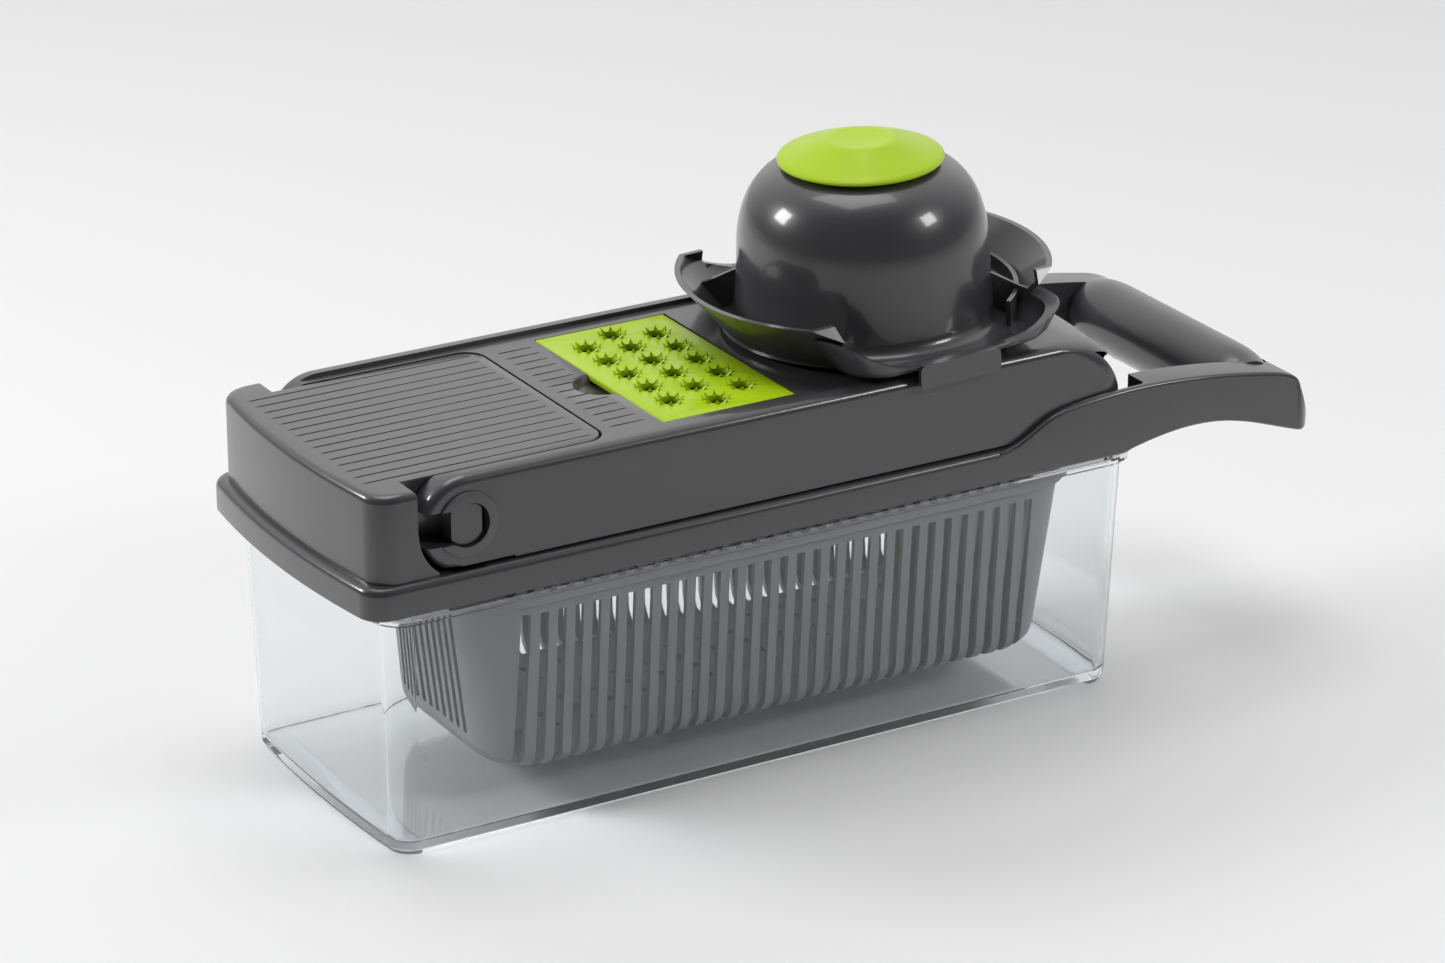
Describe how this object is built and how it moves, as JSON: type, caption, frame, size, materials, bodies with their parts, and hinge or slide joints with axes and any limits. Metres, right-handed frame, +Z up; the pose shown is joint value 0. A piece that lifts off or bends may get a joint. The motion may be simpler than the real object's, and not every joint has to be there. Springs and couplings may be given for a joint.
{
  "type": "mandoline slicer",
  "caption": "Mandoline slicer and vegetable dicer: clear bin with drain basket, hinged press lid with grater insert, carrying handle and domed hand guard.",
  "frame": {"origin": "on the table, in the middle of the overall length and width", "axes": "+X from the hinge end to the handle, +Y across the slicer, +Z up"},
  "size_m": [0.378, 0.1206, 0.1989],
  "materials": {
    "clear_plastic": "clear, polished",
    "clear_rubber": "translucent",
    "grey_plastic": "satin",
    "dark_plastic": "gloss",
    "green_plastic": "gloss",
    "steel": "brushed"
  },
  "bodies": {
    "bin": {"container": "clear_plastic", "foot_strip_left": "clear_rubber", "foot_strip_right": "clear_rubber"},
    "basket": {"drain_basket": "grey_plastic"},
    "head": {"base_frame": "dark_plastic", "grip_cover": "dark_plastic", "grip_screws": "steel", "dicing_frame": "dark_plastic", "dicing_clamp_ring": "dark_plastic", "dicing_blades_long": "steel", "dicing_blades_cross": "steel"},
    "lid": {"press_lid": "dark_plastic", "pusher_pad": "dark_plastic"},
    "grater": {"grater_insert": "green_plastic"},
    "guard": {"hand_guard": "dark_plastic"},
    "pusher": {"pusher_knob": "green_plastic", "pusher_stem": "grey_plastic", "prong_plate": "grey_plastic", "prong_pins": "steel", "plunger_screw": "steel"}
  },
  "joints": [
    {"name": "head_lift", "type": "slide", "parent": "bin", "child": "head", "axis": [0, 0, 1], "range_m": [0, 0.2]},
    {"name": "basket_lift", "type": "slide", "parent": "bin", "child": "basket", "axis": [0, 0, 1], "range_m": [0, 0.09]},
    {"name": "lid_hinge", "type": "hinge", "parent": "head", "child": "lid", "pos_m": [-0.1475, 0, 0.115], "axis": [0, -1, 0], "range_deg": [0, 92]},
    {"name": "grater_tip", "type": "hinge", "parent": "lid", "child": "grater", "pos_m": [-0.0173, 0, 0.1289], "axis": [0, 1, 0], "range_deg": [0, 35]},
    {"name": "guard_slide", "type": "slide", "parent": "lid", "child": "guard", "axis": [1, 0, 0], "range_m": [-0.11, 0]},
    {"name": "pusher_slide", "type": "slide", "parent": "guard", "child": "pusher", "axis": [-0.0384, 0, 0.9993], "range_m": [0, 0.028]}
  ],
  "couplings": [
    {"joint": "basket_lift", "follows": "head_lift", "ratio": 0.45}
  ]
}
